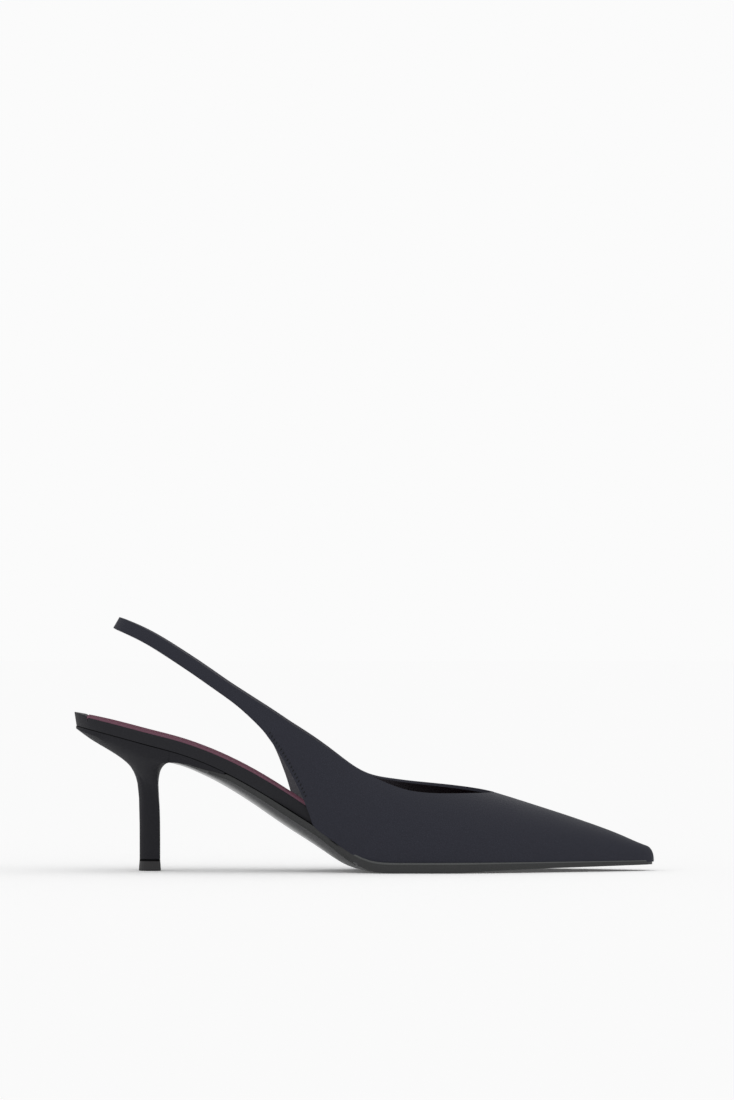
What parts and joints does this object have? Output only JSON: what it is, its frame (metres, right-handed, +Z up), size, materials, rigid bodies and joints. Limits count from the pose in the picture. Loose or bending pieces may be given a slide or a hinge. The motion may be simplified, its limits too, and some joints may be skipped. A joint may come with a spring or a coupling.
{
  "type": "slingback pump",
  "caption": "Right slingback pump with a pointed toe, a slender covered heel, a thick wrapped footbed rim and a plain strap round the heel.",
  "frame": {"origin": "middle of the shoe's box, on the floor that the heel tip and the ball of the sole stand on", "axes": "+X along the shoe to the toe, +Y to the inner side of the foot, +Z up"},
  "size_m": [0.2639, 0.08, 0.1153],
  "materials": {
    "upper_leather": "soft blue-black nappa leather, satin",
    "heel_leather": "black leather stretched over the heel, satin",
    "rim_leather": "black leather wrapped over the footbed, satin",
    "sole_leather": "dark grey painted and polished sole leather",
    "sock_leather": "burgundy kid leather, matt",
    "tip_rubber": "hard dark rubber top piece, matt"
  },
  "bodies": {
    "root": {"outsole": "sole_leather", "heel": "heel_leather", "heel_tip": "tip_rubber", "insole": "rim_leather", "sock_lining": "sock_leather", "upper": "upper_leather", "slingback_strap": "upper_leather"}
  },
  "joints": []
}
